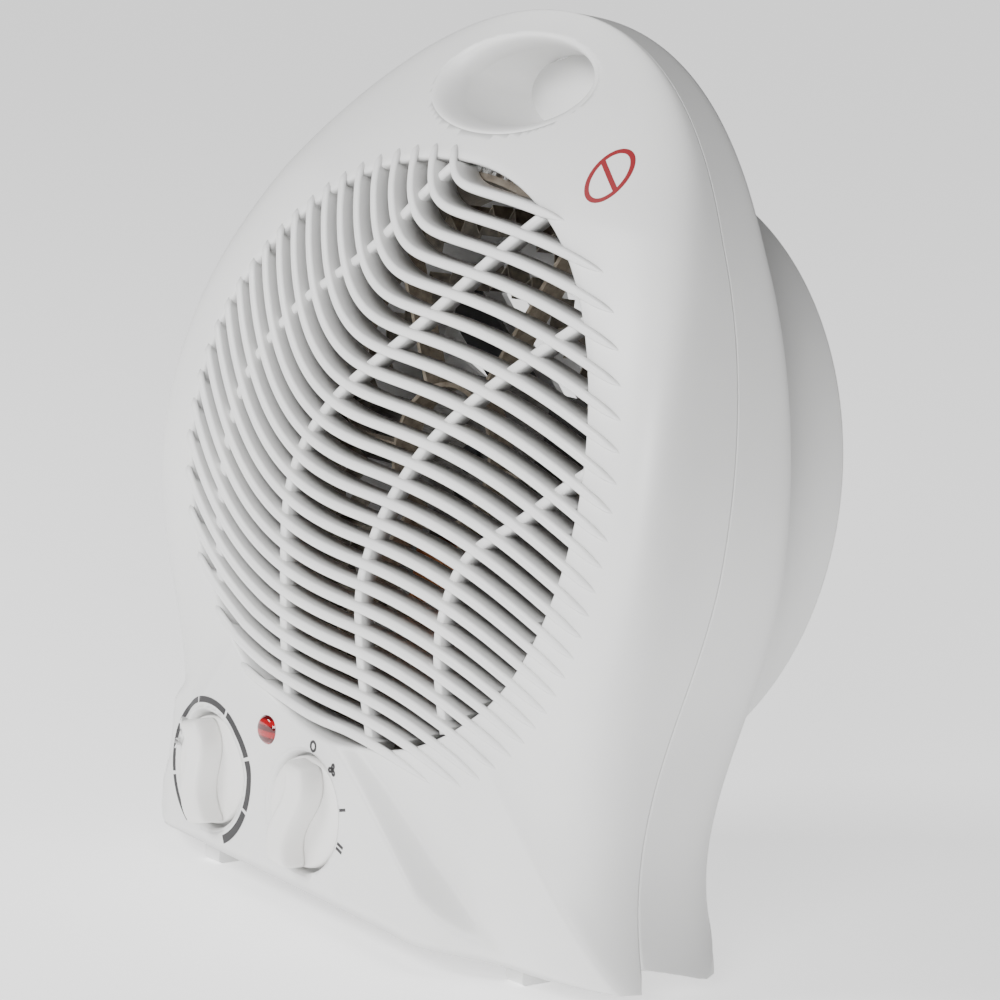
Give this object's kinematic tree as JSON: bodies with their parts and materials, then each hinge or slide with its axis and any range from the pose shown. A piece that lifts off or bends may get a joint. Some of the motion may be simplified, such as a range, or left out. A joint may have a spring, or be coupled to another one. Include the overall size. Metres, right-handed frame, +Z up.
{
  "type": "fan convector heater",
  "caption": "Upright fan convector heater with an egg-shaped leaning casing, a round S-louvred front grille, a carrying hole at the top, two control dials, a rear fan drum and an element.",
  "frame": {"origin": "on the ground under the middle of the bounding box", "axes": "+Z up, +X to the viewer's right, the grille faces -Y and the fan drum points to +Y"},
  "size_m": [0.214, 0.1176, 0.2622],
  "materials": {
    "casing": "satin",
    "knob": "satin",
    "lamp_red": "glossy",
    "lamp_glass": "clear",
    "black_plastic": "matte",
    "control_plastic": "matte",
    "sheet_steel": "satin",
    "screw_steel": "satin",
    "lamination": "matte",
    "copper": "satin",
    "mica": "matte",
    "resistance_wire": "satin",
    "aluminium": "satin",
    "rubber": "matte"
  },
  "bodies": {
    "housing": {"front_casing": "casing", "front_grille": "casing", "rear_casing": "casing", "rear_grille": "casing", "front_feet": "casing", "rear_feet": "casing", "thermostat_body": "control_plastic", "selector_body": "control_plastic", "lamp_lens": "lamp_red", "lamp_tube": "lamp_glass", "air_duct": "sheet_steel", "mica_frame": "mica", "heating_coil_outer": "resistance_wire", "heating_coil_inner": "resistance_wire", "motor_stator": "lamination", "motor_winding": "copper", "motor_front_plate": "sheet_steel", "motor_rear_plate": "sheet_steel", "motor_strap": "sheet_steel", "motor_screws": "screw_steel", "strap_screws": "screw_steel", "casing_screws": "screw_steel", "thermal_cutout": "aluminium", "thermal_fuse": "control_plastic", "terminal_block": "control_plastic", "cord_gland": "black_plastic", "lead_to_thermostat": "rubber", "lead_to_selector": "rubber"},
    "fan_rotor": {"fan_impeller": "black_plastic", "fan_nut": "black_plastic", "motor_rotor": "lamination", "motor_shaft": "screw_steel", "shaft_collar": "black_plastic"},
    "thermostat_dial": {"thermostat_knob": "knob", "thermostat_spindle": "control_plastic"},
    "selector_dial": {"selector_knob": "knob", "selector_spindle": "control_plastic"}
  },
  "joints": [
    {"name": "fan_spin", "type": "hinge", "parent": "housing", "child": "fan_rotor", "pos_m": [0, 0.03018, 0.12809], "axis": [0, -0.9945, 0.1045], "continuous": true},
    {"name": "thermostat_turn", "type": "hinge", "parent": "housing", "child": "thermostat_dial", "pos_m": [-0.0625, -0.0445, 0.03], "axis": [0, 1, 0], "range_deg": [-135, 165]},
    {"name": "selector_turn", "type": "hinge", "parent": "housing", "child": "selector_dial", "pos_m": [-0.0115, -0.05, 0.03], "axis": [0, 1, 0], "range_deg": [0, 105]}
  ]
}
